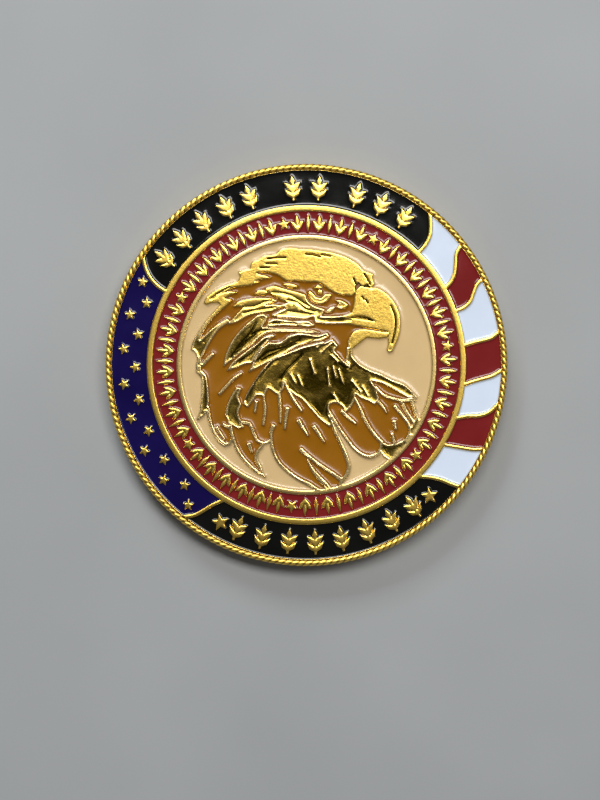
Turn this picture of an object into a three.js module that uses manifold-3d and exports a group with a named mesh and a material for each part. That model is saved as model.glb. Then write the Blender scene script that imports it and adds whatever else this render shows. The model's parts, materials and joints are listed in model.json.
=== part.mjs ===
// A die-struck challenge coin: one gold-plated brass blank, struck on both faces, with soft enamel
// in the pockets of its front face. Millimetres, +Z up. The coin lies on its reverse with the middle
// of its underside at the origin, and the top of its artwork points along +Y.
import * as THREE from "three";
import { mergeVertices } from "three/addons/utils/BufferGeometryUtils.js";
import Module from "manifold-3d";

const wasm = await Module();
wasm.setup();

// Overall sizes
const COIN_DIAMETER = 40;
const COIN_THICKNESS = 3;

// Widths of the rings of the front face, from the edge inwards
const ROPE_WIDTH = 0.65;
const BAND_WIDTH = 3.5;
const OUTER_RING_WIDTH = 0.55;
const VERSE_RING_WIDTH = 2.4;
const INNER_RING_WIDTH = 0.45;

// Heights and depths of the struck relief
const ROPE_PROUD = 0.05; // the rope stands this far above the raised metal
const POCKET_DEPTH = 0.4; // raised metal down to a pocket's floor
const ENAMEL_DROP = 0.15; // the rings' enamel cures this far below the raised metal
const FIELD_DROP = 0.22; // and the centre field's enamel this far
const GROOVE_WIDTH = 0.12; // lines cut into the eagle's raised metal, down to the pockets' floor
const BOND_GAP = 0.02; // room between the enamel and the metal round it and under it
const ROOT_DEPTH = 0.1; // raised metal runs this far into the blank, so that the two join

// The bead that carries the rope round both faces
const BEAD_SHOULDER = 0.22; // the bead's feet lie this far below its crest

// Raised lines and ornaments of the front face
const DIVIDER_WIDTH = 0.32;
const CANTON_STAR_RADIUS = 0.56;
const VERSE_STAR_RADIUS = 0.62;
const BANNER_STAR_RADIUS = 0.85;
const STAR_WAIST = 0.45; // a star's inner radius as a share of its outer one
const SPRIG_LENGTH = 2.5;
const SPRIG_WIDTH = 1.6;
const VERSE_LEAF_LENGTH = 1.7;
const VERSE_LEAF_WIDTH = 0.36;
const TREFOIL_WIDTH = 1.25;

// The reverse
const REVERSE_RIM_WIDTH = 0.8;
const REVERSE_DEPTH = 0.35;
const REVERSE_RELIEF = 0.25;
const WREATH_RADIUS = 12.2;
const WREATH_LEAVES = 11; // on each of its two branches
const WREATH_LEAF_LENGTH = 3.4;
const WREATH_LEAF_WIDTH = 1.3;
const REVERSE_STAR_RADIUS = 6;

const CIRCLE_SEGMENTS = 72;

const GOLD = 0xe0b040;
const ENAMEL_COLOURS = {
  black: 0x15140f,
  blue: 0x170c52,
  white: 0xd8e0ea,
  red: 0x701c20,
  cream: 0xd9bd94,
  brown: 0x8c5a14,
};

// Sizes worked out from the ones above
const EDGE_RADIUS = COIN_DIAMETER / 2;
const BAND_OUTER = EDGE_RADIUS - ROPE_WIDTH;
const BAND_INNER = BAND_OUTER - BAND_WIDTH;
const VERSE_OUTER = BAND_INNER - OUTER_RING_WIDTH;
const VERSE_INNER = VERSE_OUTER - VERSE_RING_WIDTH;
const FIELD_RADIUS = VERSE_INNER - INNER_RING_WIDTH;
const METAL_TOP = COIN_THICKNESS - ROPE_PROUD;
const POCKET_FLOOR = METAL_TOP - POCKET_DEPTH;
const ENAMEL_TOP = METAL_TOP - ENAMEL_DROP;
const FIELD_TOP = METAL_TOP - FIELD_DROP;

// Plain outlines, as lists of [x, y]

const degrees = (angle) => (angle * Math.PI) / 180;

const polar = (radius, angle) => [
  radius * Math.cos(degrees(angle)),
  radius * Math.sin(degrees(angle)),
];

function circle(radius) {
  const points = [];
  for (let i = 0; i < CIRCLE_SEGMENTS; i++) {
    points.push(polar(radius, (360 * i) / CIRCLE_SEGMENTS));
  }
  return points;
}

// A star or leaf is drawn round its own middle with its tip along +Y, then turned so that its tip
// points at `turn` degrees and moved to `middle`.
function placed(outline, middle, turn) {
  const angle = degrees(turn - 90);
  return outline.map(([x, y]) => [
    middle[0] + x * Math.cos(angle) - y * Math.sin(angle),
    middle[1] + x * Math.sin(angle) + y * Math.cos(angle),
  ]);
}

function star(radius) {
  const points = [];
  for (let i = 0; i < 10; i++) {
    points.push(polar(i % 2 ? radius * STAR_WAIST : radius, 90 + 36 * i));
  }
  return points;
}

// A laurel sprig: two pairs of leaves on a short stem, with one more leaf on top. The points are its
// right half, in shares of the width and the length.
const SPRIG_HALF = [
  [0.06, -0.5], [0.06, -0.38], [0.36, -0.27], [0.5, -0.02], [0.27, -0.12], [0.07, -0.2],
  [0.34, 0], [0.5, 0.24], [0.19, 0.16], [0.07, 0.08], [0.16, 0.28],
];

function sprig(length, width) {
  const right = SPRIG_HALF.map(([x, y]) => [x * width, y * length]);
  const left = right.map(([x, y]) => [-x, y]);
  return [...right, [0, length / 2], ...left.reverse()];
}

// Three slender leaves from one foot, in the same shares
const TREFOIL_HALF = [[0.38, -0.16], [0.5, 0.14], [0.23, 0.06], [0.08, -0.16], [0.13, 0.18]];

function trefoil(length, width) {
  const right = TREFOIL_HALF.map(([x, y]) => [x * width, y * length]);
  const left = right.map(([x, y]) => [-x, y]);
  return [[0, -length / 2], ...right, [0, length / 2], ...left.reverse()];
}

// A pointed leaf, widest a little below its middle
function leaf(length, width) {
  return [
    [0, -length / 2],
    [width / 2, -length * 0.12],
    [0, length / 2],
    [-width / 2, -length * 0.12],
  ];
}

const signedArea = (outline) => THREE.ShapeUtils.area(outline.map(([x, y]) => new THREE.Vector2(x, y)));

// A closed outline moved outwards by `amount` all round, or inwards if it is negative
function grown(outline, amount) {
  if (!amount) {
    return outline;
  }
  const side = signedArea(outline) > 0 ? amount : -amount;
  return outline.map((point, i) => {
    const before = outline[(i + outline.length - 1) % outline.length];
    const after = outline[(i + 1) % outline.length];
    const arriving = new THREE.Vector2(point[0] - before[0], point[1] - before[1]).normalize();
    const leaving = new THREE.Vector2(after[0] - point[0], after[1] - point[1]).normalize();
    const outward = new THREE.Vector2(arriving.y + leaving.y, -arriving.x - leaving.x).normalize();
    const share = Math.max(0.35, outward.dot(new THREE.Vector2(arriving.y, -arriving.x)));
    return [point[0] + (outward.x * side) / share, point[1] + (outward.y * side) / share];
  });
}

// The outline of a raised line through [x, y, width] points
function lineOutline(points, growth = 0) {
  const left = [];
  const right = [];
  points.forEach(([x, y, width], i) => {
    const [x0, y0] = points[Math.max(i - 1, 0)];
    const [x1, y1] = points[Math.min(i + 1, points.length - 1)];
    const along = new THREE.Vector2(x1 - x0, y1 - y0).normalize();
    const half = width / 2 + growth;
    const past = i === 0 ? -growth : i === points.length - 1 ? growth : 0;
    left.push([x + along.x * past - along.y * half, y + along.y * past + along.x * half]);
    right.push([x + along.x * past + along.y * half, y + along.y * past - along.x * half]);
  });
  return [...right, ...left.reverse()];
}

// The eagle's head, drawn in millimetres for a field of this radius and scaled to the real one.
// A plate is a closed outline of raised metal; a line is [x, y, width] points along its middle.
const DRAWN_FIELD_RADIUS = 12.45;

const EAGLE_PLATES = {
  crown: [
    [-5.2, 10.2], [-4.1, 10.25], [-4, 10.6], [-3.7, 10.9], [-3.1, 11.05], [-2.6, 11.3], [-1.3, 11.35],
    [-0.9, 11.65], [0, 11.75], [1, 11.5], [2, 11.3], [3, 11], [4, 10.7], [5, 10.25], [6, 9.6],
    [6.6, 9], [7, 8.4], [7.5, 8.1], [7.85, 7.9], [7.75, 7.4], [7.85, 6.9], [7.5, 6.5], [7.2, 7],
    [6.6, 6.85], [6.3, 7.3], [6, 7], [5.9, 6.4], [5.5, 6.1], [4.4, 6.4], [3.8, 6.7], [3.2, 7.2],
    [2.7, 7.7], [2.2, 8], [1.5, 8.1], [0.3, 8.4], [-0.8, 8.6], [-1.3, 9.1], [-1.9, 9.45],
    [-2.6, 9.7], [-3.6, 9.8], [-4.5, 9.9],
  ],
  temple_feather: [
    [-5.5, 9.2], [-6.5, 9], [-7.5, 8.75], [-8.3, 8.4], [-8.9, 8], [-9.15, 7.6], [-8.9, 7.4],
    [-8.3, 7.5], [-7.8, 7.45], [-7.5, 7.1], [-6.9, 7.25], [-6.4, 7.5], [-7.1, 7.75], [-6.4, 8],
    [-5.7, 8.15], [-6.4, 8.33], [-7.7, 8.2], [-7, 8.42], [-6, 8.65], [-4, 8.7], [-3.35, 8.85],
    [-3.9, 9], [-3, 9.05], [-2.2, 9.1], [-2.8, 9.4], [-3.4, 9.65], [-3.9, 10.1], [-5.3, 10.1], [-5.2, 9.6],
  ],
  upper_nape_feather: [
    [-6.4, 7.45], [-7.5, 7.25], [-8.2, 6.65], [-9, 6], [-9.8, 5.2], [-10.4, 4.5], [-10.85, 3.9],
    [-11.1, 3.2], [-10.75, 3], [-10.3, 3.5], [-10.1, 4.05], [-9.8, 4.6], [-9.2, 5.3], [-8.6, 5.9],
    [-7.8, 6.5], [-7, 7],
  ],
  lower_nape_feather: [
    [-10.9, 3.1], [-10.2, 3.95], [-9.2, 4.65], [-8.4, 5.15], [-7.1, 5.7], [-6.85, 5.4],
    [-7.4, 5.15], [-8, 4.85], [-8.6, 4.3], [-9.2, 3.6], [-9.8, 2.8], [-10.2, 2.2], [-10.6, 2.4],
  ],
  ear_feather: [
    [-6.35, 6.8], [-5.7, 7.2], [-4.8, 7.3], [-3.2, 7.2], [-2.4, 7], [-1.95, 6.7], [-3.2, 6.45],
    [-2.2, 6.38], [-1.3, 6.2], [-1.9, 5.95], [-2.8, 5.8], [-4.6, 5.75], [-5.4, 5.55], [-6.2, 5.25],
    [-7.15, 5.15], [-6.7, 5.5], [-6, 6.1], [-5.3, 6.6], [-5.8, 6.75],
  ],
  temple_mark: [[-4.1, 7.7], [-3.6, 8], [-3, 7.95], [-2.7, 7.7], [-3.1, 7.45]],
  brow_mark: [[-1.05, 8.3], [-0.3, 8.2], [0.35, 7.85], [-0.2, 7.72], [-0.75, 7.95]],
  cheek: [
    [-2.9, 8.1], [-2, 8.2], [-1.2, 7.85], [-0.5, 7.55], [0.3, 7.2], [0.9, 6.9], [1, 6.4],
    [1.5, 5.75], [2.1, 5.4], [2.6, 5.15], [2.2, 4.6], [1.6, 4.3], [1.35, 4.65], [0.9, 4.55], [0.2, 4.58],
    [-0.5, 4.75], [-2, 5.05], [-2.7, 5.35], [-2, 5.6], [-1.2, 5.85], [-1.6, 6.2], [-0.9, 6.4],
    [-1.5, 6.75], [-2.1, 7.2], [-2.6, 7.7],
  ],
  jaw_feather: [
    [-3.5, 4.25], [-3.1, 4.8], [-2.5, 4.95], [-1.6, 4.75], [-0.8, 4.5], [0.2, 4.35], [0.9, 4.2],
    [1.35, 3.75], [0.8, 3.7], [0, 3.9], [-0.9, 4.1], [-1.9, 4.25], [-2.7, 4.3],
  ],
  great_feather: [
    [-8.15, 1.1], [-7.9, 1.9], [-7.5, 2.7], [-7, 3.4], [-6.3, 4.1], [-5.6, 4.65], [-4.8, 5.15],
    [-4.1, 5.55], [-3.5, 5.6], [-3.1, 5.3], [-3.5, 4.75], [-3.8, 4.35], [-2.4, 4], [-1.2, 3.8],
    [0.1, 3.55], [1.1, 3.3], [1.8, 2.95], [0.6, 3.15], [-0.8, 3.45], [-2, 3.6], [-3.2, 3.75],
    [-4, 3.5], [-4.8, 3], [-5.6, 2.5], [-6.4, 2.1], [-7.2, 1.65],
  ],
  second_feather: [
    [-7.9, 0.6], [-7.4, 1.2], [-6.4, 1.85], [-5.6, 2.3], [-4.6, 2.8], [-3.8, 3.3], [-2.9, 3.5],
    [-2.7, 3.3], [-3.3, 3], [-3.9, 2.6], [-4.4, 2.1], [-4.9, 1.5], [-5.3, 1], [-6, 1], [-6.8, 0.8],
  ],
  third_feather: [
    [-5.8, 0.15], [-5.2, 1], [-4.6, 1.8], [-4, 2.4], [-3.4, 2.75], [-2.3, 2.6], [-1.3, 3.05],
    [-0.3, 3.2], [0.6, 3], [1.6, 2.7], [2.5, 2.8], [2.65, 2.5], [2, 2.25], [1, 2.2], [0, 2.05],
    [-1, 1.85], [-2, 1.45], [-3, 1.1], [-4, 0.75], [-4.9, 0.45],
  ],
  mane_feather: [
    [-6.8, -2.9], [-6.2, -1.8], [-5.4, -0.9], [-4.5, 0.1], [-3.4, 0.95], [-1.8, 1.4], [-0.4, 1.75],
    [1.4, 1.95], [2.1, 2.05], [1.8, 1.6], [0.9, 1.3], [0.1, 0.6], [-1.5, -0.4], [-2.4, -1.1],
    [-2.6, -2], [-3.3, -2.5], [-4.1, -1.7], [-4.6, -2.4], [-5.3, -2.2], [-5.9, -2.8], [-6.4, -3.3],
  ],
  breast: [
    [-0.3, 1.4], [0.8, 1.3], [1.6, 1.75], [2.9, 2.1], [3.35, 1.4], [2.9, 1], [3.3, 0.4], [3.7, -0.2],
    [4.4, -1], [5.2, -1.6], [6, -2.3], [6.5, -3.4], [6.6, -4.4], [6.1, -4.9], [5.6, -4.5], [4.9, -4.1],
    [4.4, -3.6], [4.1, -4.3], [3.6, -4.9], [3.2, -5.2], [2.8, -4.5], [2.2, -4.1], [1.7, -4.2],
    [1.45, -5.1], [1.75, -6.1], [1.3, -6.4], [0.4, -5.4], [-0.3, -4.3], [-1, -3.3], [-1.8, -2.6],
    [-2.4, -1.8], [-2.5, -1], [-1.8, -0.1], [-0.9, 0.7],
  ],
  beak: [
    [5.75, 6], [6.1, 6.7], [6.5, 6.93], [7.4, 6.6], [8, 6.5], [8.6, 6.1], [9.2, 5.4], [9.65, 4.5],
    [9.87, 3.5], [9.8, 2.5], [9.5, 1.5], [9, 0.6], [8.65, 0.05], [8.25, -0.05], [8.1, 0.3],
    [8.35, 0.9], [8.4, 1.45], [8.7, 1.9], [8.2, 2.15], [7.5, 2.4], [6.5, 2.75], [5.5, 3.1],
    [4.5, 3.45], [3.5, 3.6], [2.5, 3.75], [1.5, 4], [1.35, 4.4], [1.7, 4.65], [2.5, 4.5],
    [3.5, 4.35], [4.6, 4.3], [5.2, 4.45], [5.4, 4.9], [5.6, 5.4],
  ],
  lower_beak: [
    [4.35, 1.2], [4.4, 1.6], [4.7, 2.15], [5.1, 2.5], [5.7, 2.65], [6.3, 2.6], [7.2, 2.35],
    [8, 2.1], [8.8, 1.9], [8.3, 1.5], [7.5, 1.5], [6.9, 1.65], [6.3, 1.75], [5.8, 1.5],
    [5.2, 1.15], [4.7, 0.9],
  ],
  throat: [
    [4.2, 1.1], [4.75, 1.1], [4.62, 0.2], [5, -0.45], [5.6, -1.05], [6.3, -1.55], [7.2, -2.05],
    [8.2, -2.75], [9.3, -3.4], [10.35, -4.75], [9.6, -4.75], [9, -4.3], [8.2, -3.7], [7.4, -3.1],
    [6.6, -2.7], [5.9, -2.45], [5.1, -1.7], [4.3, -1], [3.9, -0.2], [4.1, 0.5],
  ],
  under_eye: [
    [1.2, 7], [1.3, 6.35], [1.8, 5.9], [2.5, 5.8], [3.15, 6.1], [3.5, 6.55], [2.9, 6.6],
    [2.4, 6.3], [1.9, 6.5], [1.65, 6.95], [1.4, 7.2],
  ],
  eyelid: [[1.85, 7.4], [2.3, 7.65], [2.75, 7.35], [2.3, 7.3]],
  pupil: [[2.4, 7.2], [2.18, 7.07], [2.18, 6.83], [2.4, 6.7], [2.62, 6.83], [2.62, 7.07]],
  lore: [[3.8, 5.95], [4.4, 5.75], [4.95, 5.3], [4.7, 5], [4.2, 5], [3.75, 5.2], [4.1, 5.5]],
  lore_mark: [[2.6, 4.9], [3.1, 5.2], [3.65, 5.3], [3.4, 4.95], [3, 4.8]],
  shoulder_feather: [
    [-8.75, -3.8], [-8.4, -2.8], [-7.8, -1.85], [-7.2, -1.2], [-6.75, -1.35], [-7.2, -2.1],
    [-7, -2.9], [-7.4, -3.7], [-7.3, -4.5], [-7.1, -5.2], [-7.7, -5.2], [-8.3, -4.7],
  ],
  breast_end: [
    [5.9, -9.4], [6.2, -10.1], [6.85, -10.7], [10.4, -7.35], [9.9, -6.9], [9.2, -7.9], [8.6, -8.7],
    [7.6, -9.1], [6.8, -9.05], [6.1, -8.6],
  ],
};

const EAGLE_LINES = {
  nape_edge: [
    [-10.5, 3, 0.5], [-10.4, 2.4, 0.45], [-10.6, 1.6, 0.5], [-10.7, 1, 0.5], [-10.3, 0.4, 0.5],
    [-10.3, -0.5, 0.6], [-10.4, -1.4, 0.7], [-10.6, -2.3, 0.8], [-10.9, -3.1, 0.6], [-11.5, -3.75, 0.2],
  ],
  nape_mark: [[-8.95, 2.5, 0.2], [-9.5, 2.15, 0.3], [-10.3, 1.5, 0.3]],
  neck_edge: [
    [-10.4, -2.6, 0.4], [-10.35, -3.6, 0.35], [-10.25, -4.5, 0.3], [-10.05, -5.3, 0.3],
    [-9.7, -6.1, 0.35], [-9.2, -6.65, 0.35], [-8.75, -6.6, 0.3], [-8.3, -6.1, 0.3],
  ],
  neck_mark: [[-9.8, -4.75, 0.35], [-9.5, -5.4, 0.25], [-9.15, -6.1, 0.15]],
  neck_knob: [[-9.15, -4.6, 0.3], [-8.55, -5, 0.3]],
  first_left: [
    [-8.55, -3.9, 0.25], [-8.4, -4.8, 0.3], [-8.35, -5.8, 0.3], [-8.15, -7, 0.3], [-7.75, -8, 0.3],
    [-7.1, -9, 0.3], [-6.4, -9.8, 0.28], [-5.7, -10.4, 0.12],
  ],
  first_right: [
    [-5.75, -10.35, 0.12], [-6.1, -9.3, 0.3], [-6.35, -8.5, 0.32], [-6.1, -7.8, 0.3],
    [-5.6, -7.3, 0.3], [-5.4, -7, 0.35],
  ],
  second_left: [
    [-7.4, -4.6, 0.3], [-6.5, -4.9, 0.3], [-6.3, -5.4, 0.28], [-6.15, -6.1, 0.28],
    [-5.85, -6.8, 0.28], [-5.35, -7.1, 0.3], [-4.95, -7, 0.25], [-4.5, -6.8, 0.25],
  ],
  third_left: [
    [-4.1, -5.4, 0.4], [-4.45, -6, 0.3], [-4.6, -7.2, 0.3], [-4.5, -8.2, 0.3], [-4.1, -9.3, 0.3],
    [-3.4, -10.2, 0.3], [-2.6, -11, 0.3], [-1.5, -11.8, 0.35], [-0.3, -12.7, 0.4],
  ],
  third_middle: [
    [-1.9, -8.15, 0.35], [-1, -9.2, 0.3], [0, -10.2, 0.3], [1, -11.1, 0.3], [1.7, -11.8, 0.4],
  ],
  third_split: [
    [-1.3, -9.3, 0.1], [-1, -10.3, 0.3], [-0.5, -11.2, 0.4], [0.1, -12.1, 0.5], [0.4, -12.7, 0.5],
  ],
  third_right: [
    [1.55, -5.6, 0.2], [1.8, -6.9, 0.3], [2.2, -8.2, 0.32], [2.55, -9.6, 0.35], [2.65, -10.6, 0.35],
    [2.3, -11.4, 0.35], [1.7, -12, 0.4], [1.4, -12.7, 0.4],
  ],
  fourth_left: [
    [1.35, -4.4, 0.3], [1.75, -5.5, 0.3], [2.3, -6.8, 0.3], [2.9, -8, 0.3], [3.5, -9, 0.3],
    [4.2, -9.7, 0.32], [5, -9.98, 0.35], [5.7, -9.8, 0.32], [6.05, -9.3, 0.3],
  ],
  fourth_right: [
    [4.2, -3.9, 0.25], [4.6, -5, 0.28], [4.9, -6.2, 0.3], [5.3, -7.2, 0.3], [5.8, -8.1, 0.3],
    [6.3, -8.8, 0.3],
  ],
  mane_mark_1: [[-9.05, -1.6, 0.25], [-8.3, -1, 0.28], [-7.4, -0.3, 0.28], [-6.5, 0.15, 0.15]],
  mane_mark_2: [[-5.8, -3.9, 0.2], [-5.45, -2.8, 0.3]],
  mane_mark_3: [[-5.15, -5.3, 0.2], [-4.75, -3.8, 0.3], [-4.6, -2.1, 0.3]],
  mane_mark_4: [[-3.45, -5.3, 0.2], [-3.25, -4.1, 0.3], [-3.1, -2.2, 0.3]],
  mane_mark_5: [[-3.1, -6, 0.2], [-2.85, -5, 0.28], [-2.5, -3.9, 0.38]],
  mane_mark_6: [[-2.3, -1.9, 0.2], [-1.75, -3.3, 0.3], [-1.15, -4.5, 0.2]],
  mane_mark_7: [[-1.65, -5.3, 0.38], [-1.25, -6.2, 0.3], [-0.9, -7, 0.15]],
  mane_mark_8: [[-0.25, -6.1, 0.38], [0.2, -7, 0.3], [0.6, -7.85, 0.15]],
  first_mark: [[-6.85, -6.85, 0.4], [-6.65, -7.8, 0.2]],
  fourth_mark: [[2.7, -5, 0.3], [3.4, -5.9, 0.28], [4, -6.5, 0.15]],
  fifth_mark_1: [[7.75, -6.75, 0.38], [7.8, -7.7, 0.2]],
  fifth_mark_2: [[7.35, -7.95, 0.3], [7.5, -9.3, 0.3]],
  fifth_mark_3: [[6.3, -4.4, 0.3], [6.9, -5.3, 0.25], [7.15, -5.9, 0.15]],
  side_upper: [
    [6.4, -3.2, 0.3], [7.1, -4.1, 0.28], [7.8, -4.5, 0.28], [9, -4.95, 0.3], [10.2, -5, 0.4],
  ],
  side_inner: [[8, -5.3, 0.3], [8.6, -6.3, 0.3], [9.2, -7.6, 0.3], [9.3, -8.4, 0.4]],
  side_middle: [[8.75, -5, 0.3], [9.25, -6.4, 0.3], [9.8, -7.5, 0.3]],
  side_outer: [[10.2, -4.7, 0.4], [9.8, -5.3, 0.3], [9.95, -6.2, 0.3], [10.1, -7.3, 0.4]],
};

// Grooves cut into the eagle's raised metal: the mouth as an outline, the others along their middles
const MOUTH_GROOVE = [[4.9, 3.95], [5.6, 4.05], [6.5, 3.85], [7.4, 3.25], [6.4, 3.55], [5.6, 3.8]];

const EAGLE_GROOVES = {
  crown_slit_1: [[-2.3, 10.98], [-1.3, 10.95], [-0.4, 10.82]],
  crown_slit_2: [[-2.5, 10.55], [-1.4, 10.35]],
  crown_slit_3: [[1.5, 10.9], [2.3, 10.7], [3, 10.38]],
  crown_slit_4: [[3.1, 10.62], [4, 10.28]],
  crown_slit_5: [[-3.2, 10.25], [-2.2, 10.1]],
  forehead_split_1: [[7, 8.1], [7.25, 7.5], [7.45, 6.95]],
  forehead_split_2: [[5.9, 7.85], [6, 7.4], [6.1, 7.1]],
  nostril_upper: [[6.45, 5.9], [6.6, 5.55]],
  nostril_lower: [[6.78, 5.5], [6.95, 5.12]],
  beak_ridge: [[9.15, 4.6], [9.4, 3.6], [9.35, 2.6], [9, 1.5], [8.7, 0.8]],
};

function scaledToField(points) {
  const scale = FIELD_RADIUS / DRAWN_FIELD_RADIUS;
  return points.map((point) => point.map((value) => value * scale));
}

// The front face's band, drawn as [degrees, share of the way out across the band]

// The raised lines between the band's fields, each named after what lies on either side of it
const DIVIDERS = [
  [[42.4, 1], [39.9, 0.79], [37.9, 0.56], [36.7, 0.27], [36.4, 0]],
  [[29.2, 1], [27.9, 0.76], [25.4, 0.57], [22.8, 0.38], [21.1, 0.16], [20.4, 0]],
  [[17.4, 1], [16.6, 0.82], [14.6, 0.62], [12.4, 0.43], [11.4, 0.22], [11.2, 0]],
  [[1.2, 1], [-0.3, 0.76], [-0.7, 0.5], [-1, 0.25], [-1.6, 0]],
  [[-10.1, 1], [-12, 0.76], [-13.1, 0.5], [-14.2, 0.25], [-15.8, 0]],
  [[-20.1, 1], [-23.4, 0.8], [-25.2, 0.55], [-26.2, 0.28], [-28.3, 0]],
  [[-34.1, 1], [-35.6, 0.76], [-36.6, 0.5], [-37.6, 0.25], [-38.8, 0]],
  [[-47.1, 1], [-48.1, 0.78], [-48.9, 0.54], [-50.4, 0.28], [-53.3, 0]],
  [[222.4, 1], [224.6, 0.8], [226, 0.55], [227.4, 0.28], [229.8, 0]],
  [[137.9, 1], [140.2, 0.82], [142.2, 0.55], [143.4, 0.27], [143.9, 0]],
];
const BANNER_ORNAMENTS = [
  134.6, 126.2, 117.5, 108.6, 100.2, 85.9, 77.4, 64.9, 56.2, 47.6,
  238.6, 247, 255.6, 264.2, 272.8, 281.4, 290, 298.4,
];
const BANNER_STARS = [232.7, 304.6];
const BANNER_SHARE = 0.5;
const BANNER_STAR_SHARE = 0.57;
const CANTON_ROWS = [
  { first: 144.6, step: 10.95, count: 8, share: 0.68 },
  { first: 150.3, step: 10.95, count: 7, share: 0.33 },
];

// The inner enamel ring: a star at each of these angles, and between two stars trefoils that take
// turns with single leaves
const VERSE_STARS = [-1.1, 53.4, 90.6, 143.2, 205.3, 255.4, 311.9];
const VERSE_PITCH = 4.3; // degrees, about, from a trefoil to the leaf beside it
const VERSE_STAR_ROOM = 5.4; // degrees from a star to the first trefoil

const FIELD_SEEDS = {
  cream_field_enamel: [7, 0],
  cream_tongue_enamel: [4.2, -10.7],
  face_brown_enamel: [-4.6, 8.2],
  mane_brown_enamel: [-8.5, 1],
  first_feather_brown_enamel: [-7.5, -7],
  fourth_feather_brown_enamel: [4, -7.5],
  fifth_feather_brown_enamel: [6.5, -7],
  side_feather_brown_enamel: [8, -4],
  edge_feather_brown_enamel: [9.45, -6],
};
const BAND_SEEDS = {
  top_banner_black_enamel: 93,
  white_stripe_1_enamel: 31,
  red_stripe_1_enamel: 19,
  white_stripe_2_enamel: 7,
  red_stripe_2_enamel: -7,
  white_stripe_3_enamel: -19,
  red_stripe_3_enamel: -31,
  white_stripe_4_enamel: -43,
  bottom_banner_black_enamel: 268.5,
  canton_blue_enamel: 183,
};

const acrossBand = (share) => BAND_INNER + share * BAND_WIDTH;

function dividerLine(points) {
  const last = points.length - 1;
  return points.map(([angle, share], i) => {
    const overshoot = i === 0 ? ROOT_DEPTH : i === last ? -ROOT_DEPTH : 0;
    return [...polar(acrossBand(share) + overshoot, angle), DIVIDER_WIDTH];
  });
}

function bandOutlines(growth) {
  const outlines = DIVIDERS.map((points) => lineOutline(dividerLine(points), growth));
  for (const angle of BANNER_ORNAMENTS) {
    const outline = sprig(SPRIG_LENGTH, SPRIG_WIDTH);
    const turn = angle > 180 ? angle + 180 : angle;
    outlines.push(grown(placed(outline, polar(acrossBand(BANNER_SHARE), angle), turn), growth));
  }
  for (const angle of BANNER_STARS) {
    const middle = polar(acrossBand(BANNER_STAR_SHARE), angle);
    outlines.push(grown(placed(star(BANNER_STAR_RADIUS), middle, angle), growth));
  }
  for (const row of CANTON_ROWS) {
    for (let i = 0; i < row.count; i++) {
      const angle = row.first + row.step * i;
      const middle = polar(acrossBand(row.share), angle);
      outlines.push(grown(placed(star(CANTON_STAR_RADIUS), middle, angle), growth));
    }
  }
  return outlines;
}

function verseOutlines(growth) {
  const radius = (VERSE_OUTER + VERSE_INNER) / 2;
  const outlines = [];
  VERSE_STARS.forEach((angle, i) => {
    outlines.push(grown(placed(star(VERSE_STAR_RADIUS), polar(radius, angle), angle), growth));
    const next = i + 1 < VERSE_STARS.length ? VERSE_STARS[i + 1] : VERSE_STARS[0] + 360;
    const run = next - angle - 2 * VERSE_STAR_ROOM;
    const steps = 2 * Math.round(run / VERSE_PITCH / 2);
    for (let k = 0; k <= steps; k++) {
      const at = angle + VERSE_STAR_ROOM + (run * k) / steps;
      const outline = k % 2
        ? leaf(VERSE_LEAF_LENGTH, VERSE_LEAF_WIDTH)
        : trefoil(VERSE_LEAF_LENGTH, TREFOIL_WIDTH);
      outlines.push(grown(placed(outline, polar(radius, at), at), growth));
    }
  });
  return outlines;
}

function eagleOutlines(growth) {
  const plates = Object.values(EAGLE_PLATES).map((points) => grown(scaledToField(points), growth));
  const lines = Object.values(EAGLE_LINES).map((points) => lineOutline(scaledToField(points), growth));
  return [...plates, ...lines];
}

// Solids

function solidOf(geometry) {
  geometry.deleteAttribute("normal");
  geometry.deleteAttribute("uv");
  const merged = mergeVertices(geometry, 1e-5);
  return new wasm.Manifold(
    new wasm.Mesh({
      numProp: 3,
      vertProperties: new Float32Array(merged.attributes.position.array),
      triVerts: new Uint32Array(merged.index.array),
    }),
  );
}

function geometryOf(solid) {
  const mesh = solid.getMesh();
  const geometry = new THREE.BufferGeometry();
  geometry.setAttribute("position", new THREE.BufferAttribute(mesh.vertProperties, 3));
  geometry.setIndex(new THREE.BufferAttribute(mesh.triVerts, 1));
  const flat = geometry.toNonIndexed();
  flat.computeVertexNormals();
  return flat;
}

const pathOf = (outline) => outline.map(([x, y]) => new THREE.Vector2(x, y));

// An outline, less any holes, stood up from one height to another
function prism(outline, bottom, top, holes = []) {
  const shape = new THREE.Shape(pathOf(outline));
  shape.holes = holes.map((hole) => new THREE.Path(pathOf(hole)));
  const geometry = new THREE.ExtrudeGeometry(shape, { depth: top - bottom, bevelEnabled: false });
  return solidOf(geometry.translate(0, 0, bottom));
}

const ring = (outer, inner, bottom, top) => prism(circle(outer), bottom, top, [circle(inner)]);

const joined = (solids) => wasm.Manifold.union(solids);

// The struck blank without its front relief: a disc with a bead round each face, a flat rim and
// a sunk field on the reverse, and a sunk floor inside the front bead.
function blank() {
  const crest = EDGE_RADIUS - ROPE_WIDTH / 2;
  const reverseField = BAND_OUTER - REVERSE_RIM_WIDTH;
  const profile = [
    [0, REVERSE_DEPTH],
    [reverseField, REVERSE_DEPTH],
    [reverseField, 0],
    [crest, 0],
    [EDGE_RADIUS, BEAD_SHOULDER],
    [EDGE_RADIUS, COIN_THICKNESS - BEAD_SHOULDER],
    [crest, COIN_THICKNESS],
    [BAND_OUTER, COIN_THICKNESS - BEAD_SHOULDER],
    [BAND_OUTER, POCKET_FLOOR],
    [0, POCKET_FLOOR],
  ];
  const points = profile.map(([radius, height]) => new THREE.Vector2(radius, height));
  return solidOf(new THREE.LatheGeometry(points, CIRCLE_SEGMENTS).rotateX(Math.PI / 2));
}

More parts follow.
